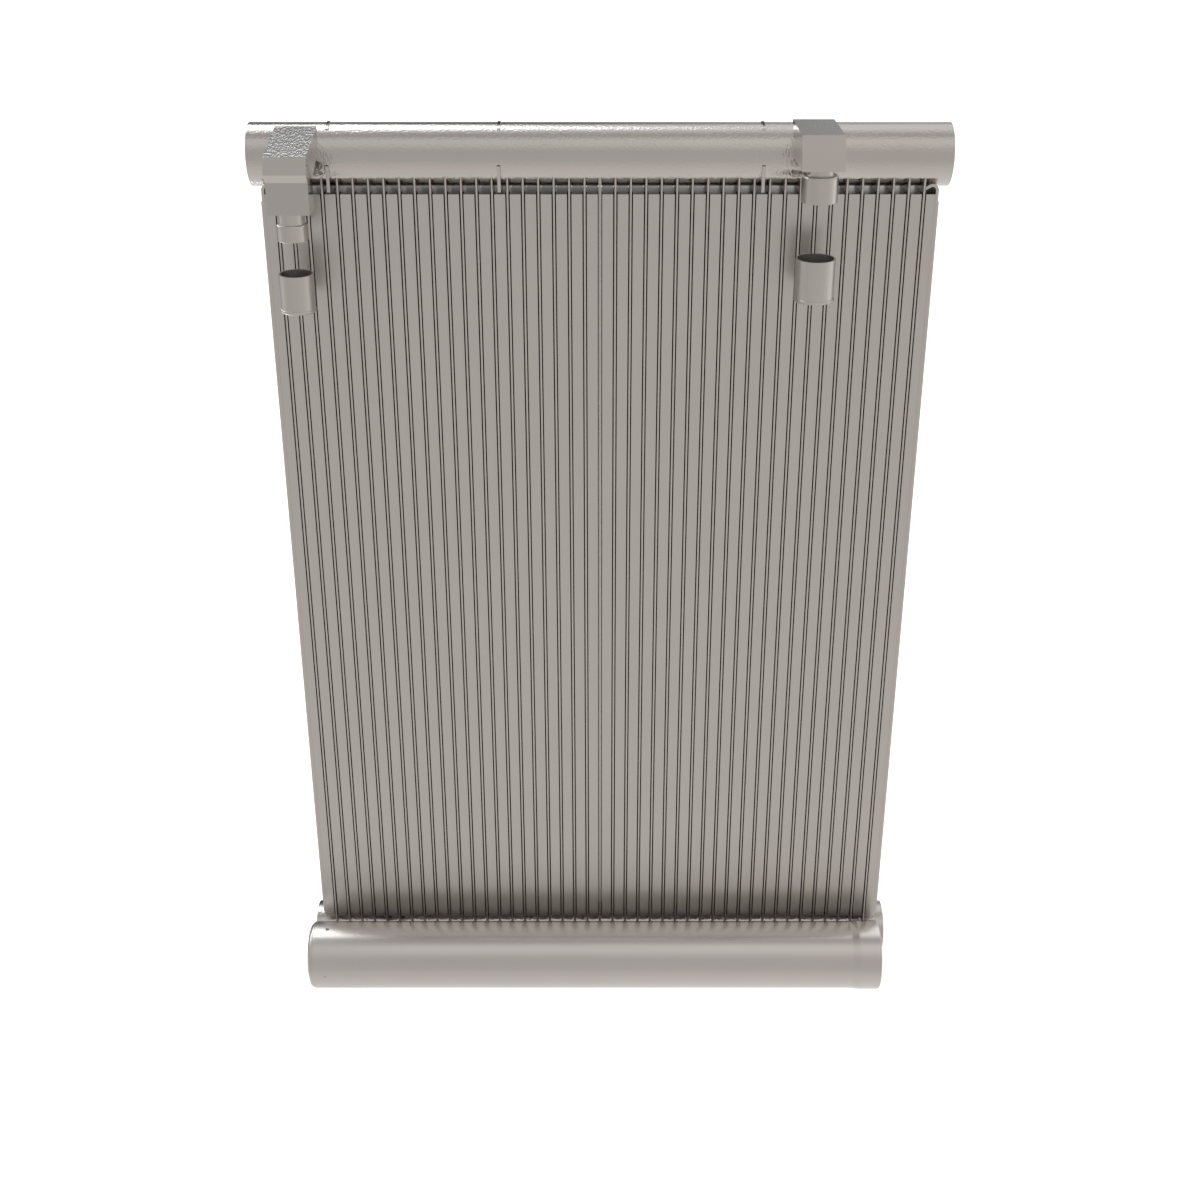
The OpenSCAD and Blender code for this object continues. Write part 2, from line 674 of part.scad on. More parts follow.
upper_header();
at_upper() header_end(-1);  // upper_end_left
at_upper() header_end(1);  // upper_end_right
at_upper() translate([upper_baffle_x[0], 0, 0]) baffle();  // upper_baffle_1
at_upper() translate([upper_baffle_x[1], 0, 0]) baffle();  // upper_baffle_2
at_upper() translate([upper_baffle_x[2], 0, 0]) baffle();  // upper_baffle_3
lower_header();
at_lower() header_end(-1);  // lower_end_left
at_lower() header_end(1);  // lower_end_right
at_lower() translate([lower_baffle_x[0], 0, 0]) baffle();  // lower_baffle_1
at_lower() translate([lower_baffle_x[1], 0, 0]) baffle();  // lower_baffle_2
at_lower() translate([lower_baffle_x[2], 0, 0]) baffle();  // lower_baffle_3
tubes(5);  // tubes_pass_1
tubes(4);  // tubes_pass_2
tubes(3);  // tubes_pass_3
tubes(2);  // tubes_pass_4
tubes(1);  // tubes_pass_5
tubes(0);  // tubes_pass_6
fins(5);  // fins_pass_1
fins(4);  // fins_pass_2
fins(3);  // fins_pass_3
fins(2);  // fins_pass_4
fins(1);  // fins_pass_5
fins(0);  // fins_pass_6
mirror([1, 0, 0]) side_plate();  // side_plate_left
side_plate();  // side_plate_right
inlet_block();
inlet_spigot();
inlet_cap();
outlet_block();
outlet_spigot();
outlet_cap();
receiver_tube();
receiver_plug();
bridge(inlet_bridge_x, true);  // receiver_inlet_bridge
bridge(outlet_bridge_x, true);  // receiver_outlet_bridge
bridge(saddle_x, false);  // receiver_saddle
stop_pins();
filter_basket();
desiccant_bag();
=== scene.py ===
import math

import bpy
import numpy as np
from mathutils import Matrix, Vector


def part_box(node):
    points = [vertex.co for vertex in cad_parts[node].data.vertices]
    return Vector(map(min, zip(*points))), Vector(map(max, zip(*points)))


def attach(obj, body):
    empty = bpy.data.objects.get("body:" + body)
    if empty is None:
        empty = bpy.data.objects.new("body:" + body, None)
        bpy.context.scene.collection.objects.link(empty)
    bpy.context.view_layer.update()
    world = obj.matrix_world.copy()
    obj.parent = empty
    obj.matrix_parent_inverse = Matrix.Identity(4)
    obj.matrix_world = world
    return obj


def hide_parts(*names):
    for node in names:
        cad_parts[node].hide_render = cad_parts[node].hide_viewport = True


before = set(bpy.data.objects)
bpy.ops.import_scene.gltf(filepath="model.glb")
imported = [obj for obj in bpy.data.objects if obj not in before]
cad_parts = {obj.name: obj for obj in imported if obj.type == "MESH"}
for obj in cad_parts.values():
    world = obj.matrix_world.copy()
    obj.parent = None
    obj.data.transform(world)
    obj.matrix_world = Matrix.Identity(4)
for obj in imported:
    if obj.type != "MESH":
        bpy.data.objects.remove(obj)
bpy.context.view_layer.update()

# Headers and the discs in their ends. Round aluminium tube, clad with brazing alloy, so the
# furnace leaves it a satin grey with a fine grain. The discs are stamped from plate.
HEADER_GREY = (0.608, 0.586, 0.565)
HEADER_ROUGH = 0.17
BLOOM_DEPTH = 0.06


def node_group(name, inputs, outputs):
    """A shader node group. inputs and outputs map a socket's name to its type and default value."""
    group = bpy.data.node_groups.new(name, "ShaderNodeTree")
    for in_out, sockets in (("INPUT", inputs), ("OUTPUT", outputs)):
        for label, (kind, value) in sockets.items():
            socket = group.interface.new_socket(label, in_out=in_out, socket_type="NodeSocket" + kind)
            if value is not None:
                socket.default_value = value
    return group, group.nodes.new("NodeGroupInput"), group.nodes.new("NodeGroupOutput")


def worked_out(tree, operation, first, second=None):
    """The output of a Math node in tree. first and second are numbers or other nodes' outputs."""
    node = tree.nodes.new("ShaderNodeMath")
    node.operation = operation
    for socket, value in zip(node.inputs, (first, second)):
        if isinstance(value, float):
            socket.default_value = value
        elif value is not None:
            tree.links.new(value, socket)
    return node.outputs[0]


def squeezed_noise(group, squeeze):
    """A noise node that reads the piece's own coordinates, each axis first multiplied by squeeze."""
    place = group.nodes.new("ShaderNodeTexCoord")
    squeezed = group.nodes.new("ShaderNodeVectorMath")
    squeezed.operation = "MULTIPLY"
    noise = group.nodes.new("ShaderNodeTexNoise")
    group.links.new(place.outputs["Object"], squeezed.inputs[0])
    group.links.new(squeeze, squeezed.inputs[1])
    group.links.new(squeezed.outputs[0], noise.inputs["Vector"])
    return noise


def grain_group():
    """Height of a fine grain: noise whose cells measure Size metres, from 0 to 1. Each axis is first
    multiplied by Squeeze, so a number under 1 draws the cells out along that axis."""
    group, given, out = node_group(
        "fine grain",
        {"Size": ("Float", 0.001), "Squeeze": ("Vector", (1.0, 1.0, 1.0))},
        {"Height": ("Float", None)},
    )
    noise = squeezed_noise(group, given.outputs["Squeeze"])
    noise.inputs["Detail"].default_value = 1.5
    noise.inputs["Roughness"].default_value = 0.6
    group.links.new(worked_out(group, "DIVIDE", 1.0, given.outputs["Size"]), noise.inputs["Scale"])
    group.links.new(noise.outputs["Fac"], out.inputs["Height"])
    return group


def lines_group():
    """Height of drawn or turned lines: noise squeezed by Squeeze, cells per metre on each axis."""
    group, given, out = node_group(
        "drawn lines", {"Squeeze": ("Vector", (5.0, 900.0, 900.0))}, {"Height": ("Float", None)}
    )
    noise = squeezed_noise(group, given.outputs["Squeeze"])
    noise.inputs["Scale"].default_value = 1.0
    noise.inputs["Detail"].default_value = 2.0
    group.links.new(noise.outputs["Fac"], out.inputs["Height"])
    return group


def bloom_group():
    """Furnace bloom: the swing is Depth times a soft cloud that runs from -0.5 to 0.5. Colour is
    multiplied by 1 plus the swing, and Rough gets less by the swing."""
    group, given, out = node_group(
        "furnace bloom",
        {
            "Colour": ("Color", (*HEADER_GREY, 1.0)),
            "Depth": ("Float", BLOOM_DEPTH),
            "Rough": ("Float", HEADER_ROUGH),
        },
        {"Colour": ("Color", None), "Rough": ("Float", None)},
    )
    place = group.nodes.new("ShaderNodeTexCoord")
    clouds = group.nodes.new("ShaderNodeTexNoise")
    clouds.inputs["Scale"].default_value = 26.0
    clouds.inputs["Detail"].default_value = 4.0
    colour = group.nodes.new("ShaderNodeVectorMath")
    colour.operation = "SCALE"
    link = group.links.new
    link(place.outputs["Object"], clouds.inputs["Vector"])
    centred = worked_out(group, "SUBTRACT", clouds.outputs["Fac"], 0.5)
    swing = worked_out(group, "MULTIPLY", centred, given.outputs["Depth"])
    link(given.outputs["Colour"], colour.inputs[0])
    link(worked_out(group, "ADD", 1.0, swing), colour.inputs["Scale"])
    link(colour.outputs[0], out.inputs["Colour"])
    link(worked_out(group, "SUBTRACT", given.outputs["Rough"], swing), out.inputs["Rough"])
    return group


FINE_GRAIN = grain_group()
DRAWN_LINES = lines_group()
FURNACE_BLOOM = bloom_group()


def place_group(tree, group, values):
    """Puts a node group into a material with its own values."""
    node = tree.nodes.new("ShaderNodeGroup")
    node.node_tree = group
    for label, value in values.items():
        node.inputs[label].default_value = value
    return node


def relief_node(tree, height, depth, under=None):
    """A Bump node over a height from 0 to 1 that stands for depth metres, on top of another."""
    relief = tree.nodes.new("ShaderNodeBump")
    relief.inputs["Distance"].default_value = depth
    tree.links.new(height, relief.inputs["Height"])
    if under:
        tree.links.new(under.outputs["Normal"], relief.inputs["Normal"])
    return relief


def grained_finish(
    name, colour, rough, grain, grain_depth,
    grain_squeeze=(1.0, 1.0, 1.0), squeeze=None, line_depth=0.0, metallic=1.0,
):
    """Bare aluminium, or felt where metallic is 0: soft clouds in its colour, a fine grain, and
    lines where it was drawn or turned. The Bump node of its grain is named relief."""
    material = bpy.data.materials.new(name)
    material.use_nodes = True
    tree = material.node_tree
    shader = tree.nodes["Principled BSDF"]
    shader.inputs["Metallic"].default_value = metallic
    clouds = place_group(
        tree, FURNACE_BLOOM, {"Colour": (*colour, 1.0), "Depth": BLOOM_DEPTH, "Rough": rough}
    )
    tree.links.new(clouds.outputs["Colour"], shader.inputs["Base Color"])
    tree.links.new(clouds.outputs["Rough"], shader.inputs["Roughness"])
    drawn = None
    if squeeze:
        lines = place_group(tree, DRAWN_LINES, {"Squeeze": squeeze})
        drawn = relief_node(tree, lines.outputs["Height"], line_depth)
    grains = place_group(tree, FINE_GRAIN, {"Size": grain, "Squeeze": grain_squeeze})
    relief = relief_node(tree, grains.outputs["Height"], grain_depth, drawn)
    relief.name = "relief"
    tree.links.new(relief.outputs["Normal"], shader.inputs["Normal"])
    return material


def finish_nodes(names, material):
    """Gives CAD nodes their material."""
    for name in names:
        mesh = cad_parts[name].data
        mesh.materials.clear()
        mesh.materials.append(material)


header_metal = grained_finish(
    "header aluminium", HEADER_GREY, rough=HEADER_ROUGH, grain=0.0013, grain_depth=0.00016,
    squeeze=(8.0, 700.0, 700.0), line_depth=0.000006,
)
finish_nodes(["upper_header", "lower_header"], header_metal)
disc_metal = grained_finish(
    "disc aluminium", (0.60, 0.578, 0.557), rough=0.38, grain=0.0007, grain_depth=0.00004
)
finish_nodes(["upper_end_left", "upper_end_right", "lower_end_left", "lower_end_right"], disc_metal)

# Baffles. Aluminium plates, rounded along their edges by the die that stamps them, and pushed
# into two crossing slots of the header. Each tab's top follows the header, and a little of the
# slot stays open over each square half.
BAFFLE_ROUND = 0.01365
BAFFLE_SHOULDER = 0.00295
TAB_FRONT = 0.008
TAB_BACK = 0.0006
SHEARED_EDGE = 0.00012
CORE_MIDDLE = sum(corner[1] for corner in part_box("fins_pass_1")) / 2
# How far a face may lean and still count: the size of its normal's part along the axis.
UPRIGHT_FROM, UPRIGHT_FULL = 0.90, 0.95
FLAT_SIDE = 0.985
FLANK = 0.76


def painted_light_and_shade_group():
    """Colour times Sides on faces that look sideways, and times Ends on those that look up or down.

    Ends counts where the normal lies within about 20 degrees of Z. Sides counts where it lies
    within about 40 degrees of X, as on the flanks of a round nose, but on flat side faces only
    between the heights Low and High. Sides counts too on faces that look forward or back from
    nearer than Inside to the core's middle plane, and on ends further than Outer from X = 0.
    Upright is 1 where Ends counts. A factor under 1 is painted shade, and one over 1 painted light.
    """
    group, given, out = node_group(
        "shaded faces",
        {
            "Colour": ("Color", (*HEADER_GREY, 1.0)),
            "Sides": ("Float", 1.0),
            "Ends": ("Float", 1.0),
            "Low": ("Float", -1.0),
            "High": ("Float", 1.0),
            "Inside": ("Float", -1.0),
            "Outer": ("Float", 1.0),
        },
        {"Colour": ("Color", None), "Upright": ("Float", None)},
    )
    link = group.links.new

    def worked(operation, first, second=None):
        """The output of a Math node in this group."""
        return worked_out(group, operation, first, second)

    surface = group.nodes.new("ShaderNodeNewGeometry")
    facing = group.nodes.new("ShaderNodeSeparateXYZ")
    place = group.nodes.new("ShaderNodeTexCoord")
    spot = group.nodes.new("ShaderNodeSeparateXYZ")
    link(surface.outputs["Normal"], facing.inputs[0])
    link(place.outputs["Object"], spot.inputs[0])

    near_upright = group.nodes.new("ShaderNodeMapRange")
    near_upright.inputs["From Min"].default_value = UPRIGHT_FROM
    near_upright.inputs["From Max"].default_value = UPRIGHT_FULL
    link(worked("ABSOLUTE", facing.outputs["Z"]), near_upright.inputs["Value"])
    upright = near_upright.outputs["Result"]

    above = worked("GREATER_THAN", spot.outputs["Z"], given.outputs["Low"])
    below = worked("LESS_THAN", spot.outputs["Z"], given.outputs["High"])
    sideways = worked("ABSOLUTE", facing.outputs["X"])
    rounded = worked("LESS_THAN", sideways, FLAT_SIDE)
    counted = worked("MAXIMUM", worked("MULTIPLY", above, below), rounded)
    flanks = worked("MULTIPLY", worked("GREATER_THAN", sideways, FLANK), counted)

    off_middle = worked("ABSOLUTE", worked("SUBTRACT", spot.outputs["Y"], CORE_MIDDLE))
    forward = worked("GREATER_THAN", worked("ABSOLUTE", facing.outputs["Y"]), FLANK)
    floors = worked("MULTIPLY", forward, worked("LESS_THAN", off_middle, given.outputs["Inside"]))
    off_centre = worked("ABSOLUTE", spot.outputs["X"])
    beyond = worked("GREATER_THAN", off_centre, given.outputs["Outer"])
    outer_ends = worked("MULTIPLY", upright, beyond)

    shares = []
    dim = worked("MAXIMUM", flanks, worked("MAXIMUM", floors, outer_ends))
    for factor, mask in (("Sides", dim), ("Ends", upright)):
        loss = worked("SUBTRACT", 1.0, given.outputs[factor])
        shares.append(worked("SUBTRACT", 1.0, worked("MULTIPLY", mask, loss)))
    shaded = group.nodes.new("ShaderNodeVectorMath")
    shaded.operation = "SCALE"
    link(given.outputs["Colour"], shaded.inputs[0])
    link(worked("MULTIPLY", *shares), shaded.inputs["Scale"])
    link(shaded.outputs[0], out.inputs["Colour"])
    link(upright, out.inputs["Upright"])
    return group


PAINTED_LIGHT_AND_SHADE = painted_light_and_shade_group()


def paint_light_and_shade(material, sides=1.0, ends=1.0, low=-1.0, high=1.0, inside=-1.0, outer=1.0):
    """Puts painted shade between a finish's clouds and its shader. A factor over 1 paints light."""
    tree = material.node_tree
    colour = tree.nodes["Principled BSDF"].inputs["Base Color"]
    shaded = place_group(
        tree, PAINTED_LIGHT_AND_SHADE,
        {"Sides": sides, "Ends": ends, "Low": low, "High": high, "Inside": inside, "Outer": outer},
    )
    tree.links.new(colour.links[0].from_socket, shaded.inputs["Colour"])
    tree.links.new(shaded.outputs["Colour"], colour)
    return shaded


def arc(radius, start, end, steps):
    """Points of an arc round the header's axis, as rows of y and z: the radius times the cosine and
    the sine of even steps between two angles, counted from the back."""
    turn = np.linspace(start, end, steps)
    return radius * np.column_stack((np.cos(turn), np.sin(turn)))


baffle_metal = grained_finish(
    "baffle aluminium", (0.66, 0.64, 0.62), rough=0.17, grain=0.0004, grain_depth=0.00002
)
# Painted shade: faces that look up or down are painted nearly black, so the open slot and the tabs'
# tops read dark.
paint_light_and_shade(baffle_metal, ends=0.06)


def baffle_plate(name):
    """The stamped plate in the place of one CAD baffle.

    Its outline runs up the round half, out along the tab, over the tab's top and down again, and
    then round the square half. The outline stands at both faces of the plate, and each of its
    steps joins them with one face of the rim.
    """
    low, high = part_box(name)
    middle, reach = (low[1] + high[1]) / 2, (high[1] - low[1]) / 2
    axis = low[2] + reach
    tab_top = high[2] - axis
    dip = math.asin(BAFFLE_SHOULDER / BAFFLE_ROUND)
    outline = np.vstack((
        (reach, -BAFFLE_SHOULDER),
        arc(BAFFLE_ROUND, -dip, math.acos(TAB_BACK / BAFFLE_ROUND), 25),
        arc(tab_top, math.acos(TAB_BACK / tab_top), math.acos(-TAB_FRONT / tab_top), 17),
        arc(BAFFLE_ROUND, math.acos(-TAB_FRONT / BAFFLE_ROUND), math.pi + dip, 15),
        ((-reach, -BAFFLE_SHOULDER), (-reach, -reach), (reach, -reach)),
    ))
    count = len(outline)
    across = np.repeat((low[0], high[0]), count)
    points = np.column_stack((across, np.tile(outline + (middle, axis), (2, 1))))
    this = np.arange(count)
    following = (this + 1) % count
    rim = np.column_stack((this, following, count + following, count + this))
    faces = [this[::-1].tolist(), (count + this).tolist(), *rim.tolist()]
    mesh = bpy.data.meshes.new(name + " plate")
    mesh.from_pydata(points, [], faces)
    mesh.materials.append(baffle_metal)
    plate = bpy.data.objects.new(name + "_plate", mesh)
    bpy.context.scene.collection.objects.link(plate)
    edge = plate.modifiers.new("sheared edge", "BEVEL")
    edge.width = SHEARED_EDGE
    edge.segments = 2
    edge.limit_method = "ANGLE"
    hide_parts(name)
    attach(plate, "root")


for side in ("upper", "lower"):
    for i in (1, 2, 3):
        baffle_plate(f"{side}_baffle_{i}")

# Flat tubes. Extruded aluminium with round noses, so fine die lines run along them. They are
# brazed into the headers' slots. Painted shade darkens their flat sides between the fins, where
# little light reaches, and the sides of their round noses all along.
PAINTED_FLANK_SHADE = 0.05
FIN_FOOT, FIN_TOP = (corner[2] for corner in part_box("fins_pass_1"))
tube_metal = grained_finish(
    "tube aluminium", (0.635, 0.605, 0.575), rough=0.32, grain=0.0004, grain_depth=0.00002,
    squeeze=(1800.0, 1800.0, 6.0), line_depth=0.000008,
)
paint_light_and_shade(tube_metal, sides=PAINTED_FLANK_SHADE, low=FIN_FOOT, high=FIN_TOP)
finish_nodes([f"tubes_pass_{i}" for i in range(1, 7)], tube_metal)

# Fin columns. Thin rolled strip, brazed to the tubes on both sides and duller than they are.
# Painted shade darkens their flanks, the grooves beside the tubes down to their floors, and the
# ends of the outermost columns, which lie under the side plates. All their tops and bottoms also
# get painted light, a quarter brighter.
GROOVE_FLOOR = 0.0110
OUTER_COLUMNS = 0.161
fin_metal = grained_finish(
    "fin aluminium", (0.620, 0.602, 0.580), rough=0.32, grain=0.0005, grain_depth=0.00002
)
paint_light_and_shade(fin_metal, sides=PAINTED_FLANK_SHADE, ends=1.25, inside=GROOVE_FLOOR, outer=OUTER_COLUMNS)
finish_nodes([f"fins_pass_{i}" for i in range(1, 7)], fin_metal)

# Side plates. Rolled aluminium sheet, with both ends bent over the outermost fins. They are
# brazed on, and the rolls leave faint lines along them.
sheet_metal = grained_finish(
    "side plate aluminium", (0.640, 0.605, 0.572), rough=0.34, grain=0.0005, grain_depth=0.00002,
    squeeze=(700.0, 700.0, 10.0), line_depth=0.000005,
)
finish_nodes(["side_plate_left", "side_plate_right"], sheet_metal)

# Port blocks. Cut from aluminium bar. Their tops are blasted before brazing, so they glitter
# where light strikes, and their other faces are milled nearly smooth.
MILLED_RELIEF = 0.15
block_metal = grained_finish(
    "block aluminium", (0.562, 0.541, 0.522), rough=0.13, grain=0.0010, grain_depth=0.00020,
    grain_squeeze=(1.0, 0.5, 1.0),
)
block_faces = paint_light_and_shade(block_metal)
block_tree = block_metal.node_tree
blasted = block_tree.nodes.new("ShaderNodeMapRange")
blasted.inputs["To Min"].default_value = MILLED_RELIEF
block_tree.links.new(block_faces.outputs["Upright"], blasted.inputs["Value"])
block_tree.links.new(blasted.outputs["Result"], block_tree.nodes["relief"].inputs["Strength"])
finish_nodes(["inlet_block", "outlet_block"], block_metal)

# Spigots. Turned from aluminium bar, with a rounded shoulder, so fine rings run round them. Each
# is brazed into the underside of its block.
spigot_metal = grained_finish(
    "spigot aluminium", (0.600, 0.578, 0.557), rough=0.28, grain=0.0005, grain_depth=0.00003,
    squeeze=(40.0, 40.0, 2200.0), line_depth=0.000006,
)
finish_nodes(["inlet_spigot", "outlet_spigot"], spigot_metal)

# Dust caps. Thin aluminium cups with a beaded foot, here taken off their spigots. The drawing
# press leaves fine lines up their walls.
cap_metal = grained_finish(
    "cap aluminium", (0.600, 0.578, 0.557), rough=0.33, grain=0.0005, grain_depth=0.00003,
    squeeze=(2000.0, 2000.0, 30.0), line_depth=0.000006,
)
finish_nodes(["inlet_cap", "outlet_cap"], cap_metal)

# Receiver. A drawn aluminium can, swaged out at its open end and closed by a welded plug. Its
# closed end is spun, which leaves its first stretch duller. Three small blocks join it to the
# header, and pins in its wall hold the filter's basket.
SPUN_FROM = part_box("receiver_tube")[0][0]
SPUN_LENGTH = 0.075
SPUN_ROUGHER = 0.15
receiver_metal = grained_finish(
    "receiver aluminium", (0.650, 0.630, 0.610), rough=0.17, grain=0.0006, grain_depth=0.00004,
    squeeze=(8.0, 700.0, 700.0), line_depth=0.000006,
)
# Painted light: faces that look up or down, on the top and the bottom of the can, are painted about a
# third brighter.
paint_light_and_shade(receiver_metal, ends=1.35)
receiver_tree = receiver_metal.node_tree
receiver_rough = receiver_tree.nodes["Principled BSDF"].inputs["Roughness"]
receiver_place = receiver_tree.nodes.new("ShaderNodeTexCoord")
along = receiver_tree.nodes.new("ShaderNodeSeparateXYZ")
spun = receiver_tree.nodes.new("ShaderNodeMapRange")
spun.interpolation_type = "SMOOTHSTEP"
spun.inputs["From Min"].default_value = SPUN_FROM
spun.inputs["From Max"].default_value = SPUN_FROM + SPUN_LENGTH
spun.inputs["To Min"].default_value = SPUN_ROUGHER
spun.inputs["To Max"].default_value = 0.0
receiver_tree.links.new(receiver_place.outputs["Object"], along.inputs[0])
receiver_tree.links.new(along.outputs["X"], spun.inputs["Value"])
clouded_rough = receiver_rough.links[0].from_socket
duller = worked_out(receiver_tree, "ADD", clouded_rough, spun.outputs["Result"])
receiver_tree.links.new(duller, receiver_rough)
finish_nodes(["receiver_tube", "receiver_plug"], receiver_metal)
# The bridges, saddle and basket take the tubes' finish, with its painted shade on faces that look
# sideways.
finish_nodes(
    ["receiver_inlet_bridge", "receiver_outlet_bridge", "receiver_saddle", "filter_basket"], tube_metal
)
# The stop pins take the baffles' finish, with its painted shade on faces that look up or down.
finish_nodes(["stop_pins"], baffle_metal)

# Desiccant bag. Stitched felt, filled with beads. It lies loose on the receiver's floor and isn't
# seen from outside.
bag_felt = grained_finish(
    "desiccant felt", (0.68, 0.66, 0.58), rough=0.95, grain=0.0009, grain_depth=0.0002, metallic=0.0
)
finish_nodes(["desiccant_bag"], bag_felt)

# The room: a white floor that fills the picture and takes a trace of the part's shadow. The metal
# doesn't see the floor but the studio below it, so that each band of grey lies at its own angle.
HALF_ROOM = 30.0
FLOOR_GLOW = 0.78

floor_mesh = bpy.data.meshes.new("floor")
floor_corners = HALF_ROOM * np.array([(-1, -1, 0), (1, -1, 0), (1, 1, 0), (-1, 1, 0)])
floor_mesh.from_pydata(floor_corners, [], [(0, 1, 2, 3)])
floor = bpy.data.objects.new("floor", floor_mesh)
bpy.context.scene.collection.objects.link(floor)
floor_white = bpy.data.materials.new("floor white")
floor_white.use_nodes = True
floor_tree = floor_white.node_tree
floor_shader = floor_tree.nodes["Principled BSDF"]
floor_shader.inputs["Base Color"].default_value = (0.80, 0.80, 0.80, 1.0)
floor_shader.inputs["Roughness"].default_value = 1.0
floor_shader.inputs["Specular IOR Level"].default_value = 0.0
floor_shader.inputs["Emission Color"].default_value = (1.0, 1.0, 1.0, 1.0)
floor_shader.inputs["Emission Strength"].default_value = FLOOR_GLOW
see_through = floor_tree.nodes.new("ShaderNodeBsdfTransparent")
seen_by = floor_tree.nodes.new("ShaderNodeLightPath")
floor_mix = floor_tree.nodes.new("ShaderNodeMixShader")
floor_tree.links.new(seen_by.outputs["Is Camera Ray"], floor_mix.inputs["Fac"])
floor_tree.links.new(see_through.outputs[0], floor_mix.inputs[1])
floor_tree.links.new(floor_shader.outputs[0], floor_mix.inputs[2])
floor_tree.links.new(floor_mix.outputs[0], floor_tree.nodes["Material Output"].inputs["Surface"])
floor_mesh.materials.append(floor_white)

# The studio that the metal sees: an angle round the part, a grey and its warmth. The angles run
# from straight behind and level (-180), under the part to the front (0), over it and back (180).
# The camera sees it white.
STUDIO_LEFT = (
    (-180, 0.08, 0.0), (-168, 0.10, 0.0), (-157, 0.55, 0.0), (-143, 0.90, 0.01), (-120, 0.84, 0.02),
    (-100, 0.78, 0.03), (-80, 0.735, 0.035), (-70, 0.70, 0.04), (-56, 0.67, 0.05), (-43, 0.645, 0.055),
    (-31, 0.61, 0.055), (-20, 0.555, 0.042), (-8, 0.518, 0.03), (3, 0.52, 0.035), (14, 0.50, 0.035),
    (25, 0.525, 0.04), (36, 0.595, 0.04), (47, 0.675, 0.03), (59, 0.70, 0.03), (70, 0.60, 0.03),
    (79, 0.43, 0.02), (87, 0.41, 0.02), (97, 0.62, 0.02), (112, 0.84, 0.0), (134, 0.84, 0.0),
    (143, 0.42, -0.05), (152, 0.22, -0.04), (162, 0.10, -0.02), (176, 0.08, 0.0),
)
STUDIO_RIGHT = (
    (-180, 0.52, 0.0), (-168, 0.85, 0.0), (-157, 0.85, 0.0), (-143, 0.90, 0.01), (-120, 0.87, 0.02),
    (-100, 0.81, 0.03), (-80, 0.765, 0.04), (-70, 0.735, 0.045), (-56, 0.69, 0.05), (-43, 0.655, 0.055),
    (-31, 0.62, 0.055), (-20, 0.56, 0.045), (-8, 0.533, 0.035), (3, 0.54, 0.04), (14, 0.53, 0.045),
    (25, 0.565, 0.055), (36, 0.635, 0.055), (47, 0.72, 0.05), (59, 0.765, 0.045), (70, 0.69, 0.045),
    (79, 0.50, 0.045), (87, 0.48, 0.045), (97, 0.62, 0.04), (112, 0.84, 0.02), (138, 0.84, 0.02),
    (147, 0.66, 0.0), (156, 0.50, -0.01), (168, 0.40, -0.01), (178, 0.36, 0.0),
)
# A direction's X runs from -1, left, to 1, right. The left greys pass into the right ones from
# LEFT_UNTIL to RIGHT_FROM. SIDE_SHADES gives values of X, each with its factor on the greys.
LEFT_UNTIL, RIGHT_FROM = -0.06, 0.18
SIDE_SHADES = (
    (-1.0, 0.85), (-0.6, 0.93), (-0.25, 1.0), (0.45, 1.0), (0.7, 1.0), (0.88, 1.04), (1.0, 1.1)
)

world = bpy.data.worlds.new("pale studio")
bpy.context.scene.world = world
world.use_nodes = True
world_tree = world.node_tree
link = world_tree.links.new


def share_between(value, low, high):
    """A Map Range node that goes from 0 where value is low to 1 where it is high."""
    share = world_tree.nodes.new("ShaderNodeMapRange")
    share.inputs["From Min"].default_value = low
    share.inputs["From Max"].default_value = high
    link(value, share.inputs["Value"])
    return share


def studio_greys(stops, turn):
    """One half of the studio, as a colour ramp over turn: each stop's grey, with its red raised and
    its blue lowered by the warmth."""
    greys = world_tree.nodes.new("ShaderNodeValToRGB")
    elements = greys.color_ramp.elements
    elements.remove(elements[1])
    for angle, grey, warmth in stops:
        stop = elements[0] if angle == -180 else elements.new((angle + 180) / 360)
        stop.color = (grey * (1 + warmth), grey, grey * (1 - warmth), 1.0)
    link(turn, greys.inputs["Fac"])
    return greys.outputs["Color"]


direction = world_tree.nodes.new("ShaderNodeTexCoord")
split = world_tree.nodes.new("ShaderNodeSeparateXYZ")
link(direction.outputs["Generated"], split.inputs[0])
forward = worked_out(world_tree, "MULTIPLY", split.outputs["Y"], -1.0)
angle_round = worked_out(world_tree, "ARCTAN2", split.outputs["Z"], forward)
turn = share_between(angle_round, -math.pi, math.pi).outputs["Result"]
rightness = share_between(split.outputs["X"], LEFT_UNTIL, RIGHT_FROM)
rightness.interpolation_type = "SMOOTHSTEP"
studio = world_tree.nodes.new("ShaderNodeMixRGB")
link(rightness.outputs["Result"], studio.inputs["Fac"])
link(studio_greys(STUDIO_LEFT, turn), studio.inputs["Color1"])
link(studio_greys(STUDIO_RIGHT, turn), studio.inputs["Color2"])
side_shades = world_tree.nodes.new("ShaderNodeFloatCurve")
side_shades.mapping.clip_max_y = 2.0
shade_points = side_shades.mapping.curves[0].points
for point, (sideways, factor) in zip(shade_points, (SIDE_SHADES[0], SIDE_SHADES[-1])):
    point.location = ((sideways + 1) / 2, factor)
for sideways, factor in SIDE_SHADES[1:-1]:
    shade_points.new((sideways + 1) / 2, factor)
side_shades.mapping.update()
link(share_between(split.outputs["X"], -1.0, 1.0).outputs["Result"], side_shades.inputs["Value"])
shaded_studio = world_tree.nodes.new("ShaderNodeVectorMath")
shaded_studio.operation = "SCALE"
link(studio.outputs["Color"], shaded_studio.inputs[0])
link(side_shades.outputs["Value"], shaded_studio.inputs["Scale"])
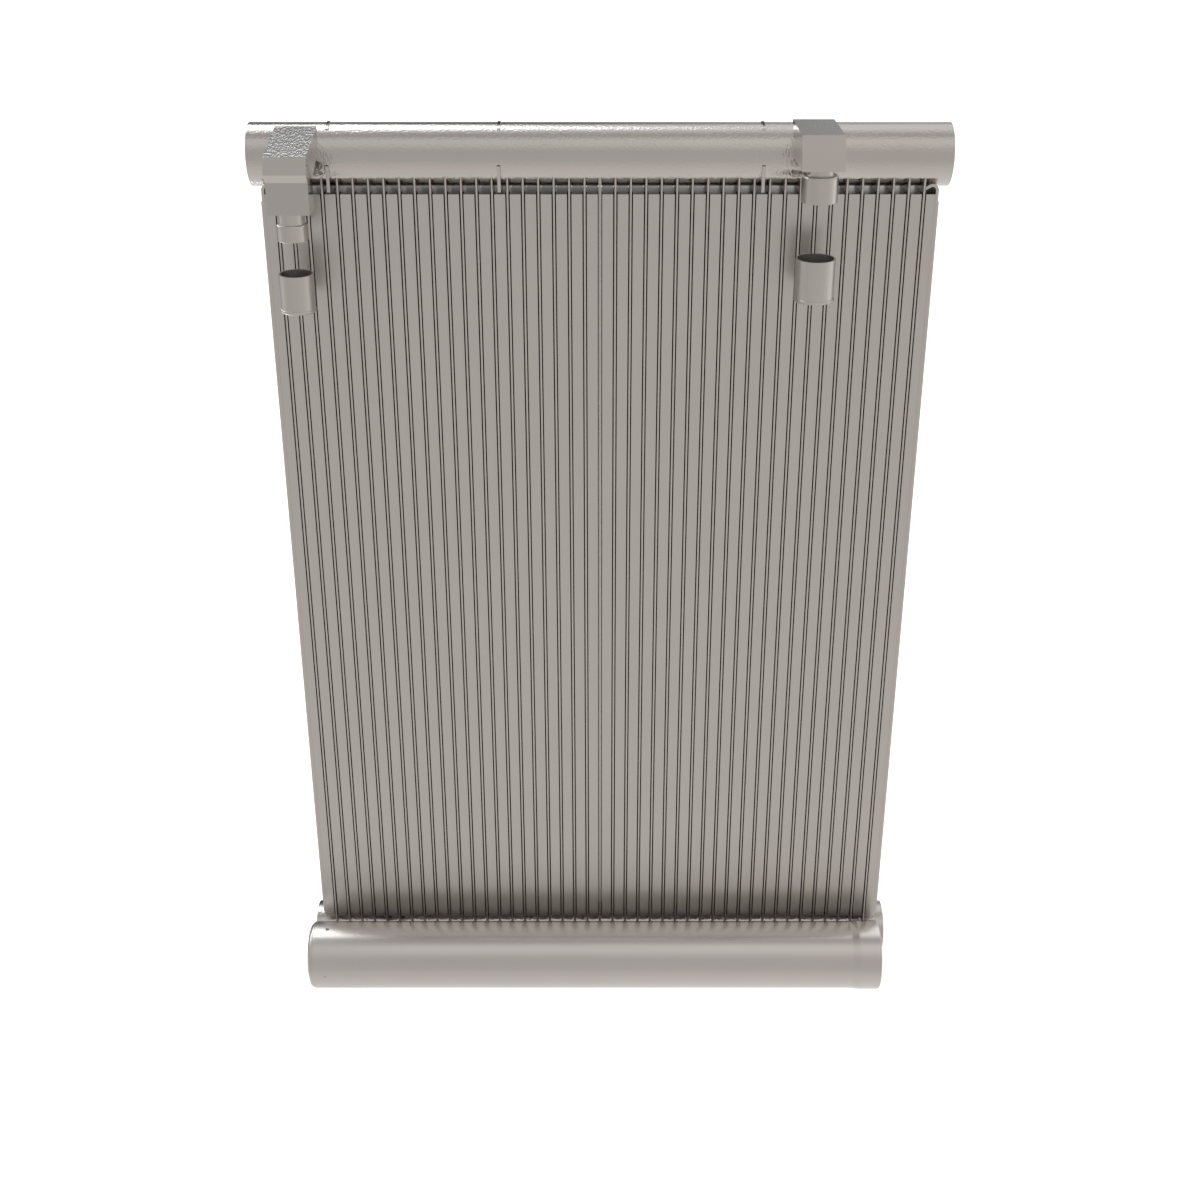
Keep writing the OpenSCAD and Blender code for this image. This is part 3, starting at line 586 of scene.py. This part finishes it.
studio_view = world_tree.nodes.new("ShaderNodeMixRGB")
studio_view.inputs["Color2"].default_value = (1.0, 1.0, 1.0, 1.0)
studio_seen_by = world_tree.nodes.new("ShaderNodeLightPath")
link(studio_seen_by.outputs["Is Camera Ray"], studio_view.inputs["Fac"])
link(shaded_studio.outputs[0], studio_view.inputs["Color1"])
link(studio_view.outputs["Color"], world_tree.nodes["Background"].inputs["Color"])
world_tree.nodes["Background"].inputs["Strength"].default_value = 1.0

# The lights: three soft panels, all behind the part. One stands high over the upper header, one
# far to the left, and a small one shines up from below the floor.


def soft_light(name, at, aim, width, height, power):
    """A rectangular studio light at one point, turned to face another."""
    lamp = bpy.data.lights.new(name, "AREA")
    lamp.shape = "RECTANGLE"
    lamp.size = width
    lamp.size_y = height
    lamp.energy = power
    holder = bpy.data.objects.new(name, lamp)
    bpy.context.scene.collection.objects.link(holder)
    facing = np.array(aim) - np.array(at)
    level = math.hypot(facing[0], facing[1])
    holder.location = at
    holder.rotation_euler = (math.atan2(level, -facing[2]), 0.0, math.atan2(-facing[0], facing[1]))
    holder.visible_camera = False


soft_light(
    "back light", at=(-0.75, 0.985, 2.228), aim=(0.0, 0.0, 0.487), width=1.6, height=1.15, power=9.2
)
soft_light(
    "left light", at=(-1.70, 1.00, 0.95), aim=(-0.15, 0.0, 0.30), width=1.6, height=0.5, power=6.0
)
soft_light(
    "low light", at=(-0.85, 0.72, -0.65), aim=(-0.15, 0.0, 0.30), width=0.6, height=0.6, power=3.5
)

# The camera, in front of the part and above it, at the distance and the angle that the
# photograph's own lines give.
CAMERA_AT = (0.0, -0.82288, 0.65016)
CAMERA_DOWN = 25.93

camera_data = bpy.data.cameras.new("camera")
camera_data.lens = 50.0
camera_data.sensor_width = 36.0
camera = bpy.data.objects.new("camera", camera_data)
camera.location = CAMERA_AT
camera.rotation_euler = (math.radians(90.0 - CAMERA_DOWN), 0.0, 0.0)
bpy.context.scene.collection.objects.link(camera)
bpy.context.scene.camera = camera
bpy.context.scene.view_settings.view_transform = "Standard"
